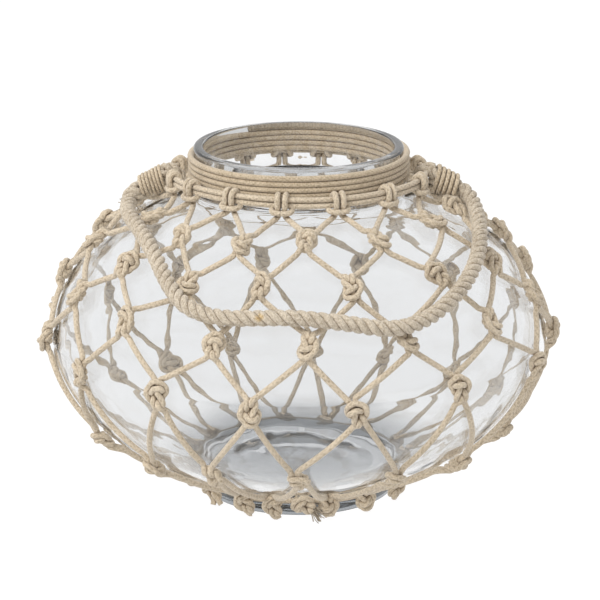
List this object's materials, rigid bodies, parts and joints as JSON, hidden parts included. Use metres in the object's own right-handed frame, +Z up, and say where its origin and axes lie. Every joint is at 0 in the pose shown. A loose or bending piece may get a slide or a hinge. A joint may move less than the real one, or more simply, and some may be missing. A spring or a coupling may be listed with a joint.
{
  "type": "hanging lantern",
  "caption": "Squat round clear glass lantern bowl with a short neck, dressed in a knotted cotton net and carried by a twisted rope handle lashed to a collar cord",
  "frame": {"origin": "middle of the flat underside of the glass foot, on the surface it stands on", "axes": "+Z up along the axis of the bowl; the front, where the handle hangs, faces -Y; the handle's two eyes are at +X and -X"},
  "size_m": [0.3436, 0.3421, 0.235],
  "materials": {
    "glass": "clear blown glass, polished",
    "net_cotton": "natural cotton cord, matt, slightly fuzzy",
    "wrap_cotton": "natural cotton cord, matt",
    "rope_cotton": "three-strand twisted cotton rope, matt",
    "twine": "thin cotton twine, matt"
  },
  "bodies": {
    "vessel": {"glass_bowl": "glass", "neck_wrap": "wrap_cotton", "collar_cord_upper": "net_cotton", "collar_cord_lower": "net_cotton", "net_cord_01": "net_cotton", "net_cord_02": "net_cotton", "net_cord_03": "net_cotton", "net_cord_04": "net_cotton", "net_cord_05": "net_cotton", "net_cord_06": "net_cotton", "net_cord_07": "net_cotton", "net_cord_08": "net_cotton", "net_cord_09": "net_cotton", "net_cord_10": "net_cotton", "net_cord_11": "net_cotton", "net_cord_12": "net_cotton", "net_cord_13": "net_cotton", "net_cord_14": "net_cotton", "net_cord_15": "net_cotton", "hem_cord": "net_cotton", "handle_eye_left": "rope_cotton", "handle_eye_right": "rope_cotton", "whipping_left": "twine", "whipping_right": "twine"},
    "handle": {"handle_rope": "rope_cotton"}
  },
  "joints": [
    {"name": "handle_swing", "type": "hinge", "parent": "vessel", "child": "handle", "pos_m": [0, -0.007, 0.2075], "axis": [-1, 0, 0], "range_deg": [0, 195]}
  ]
}
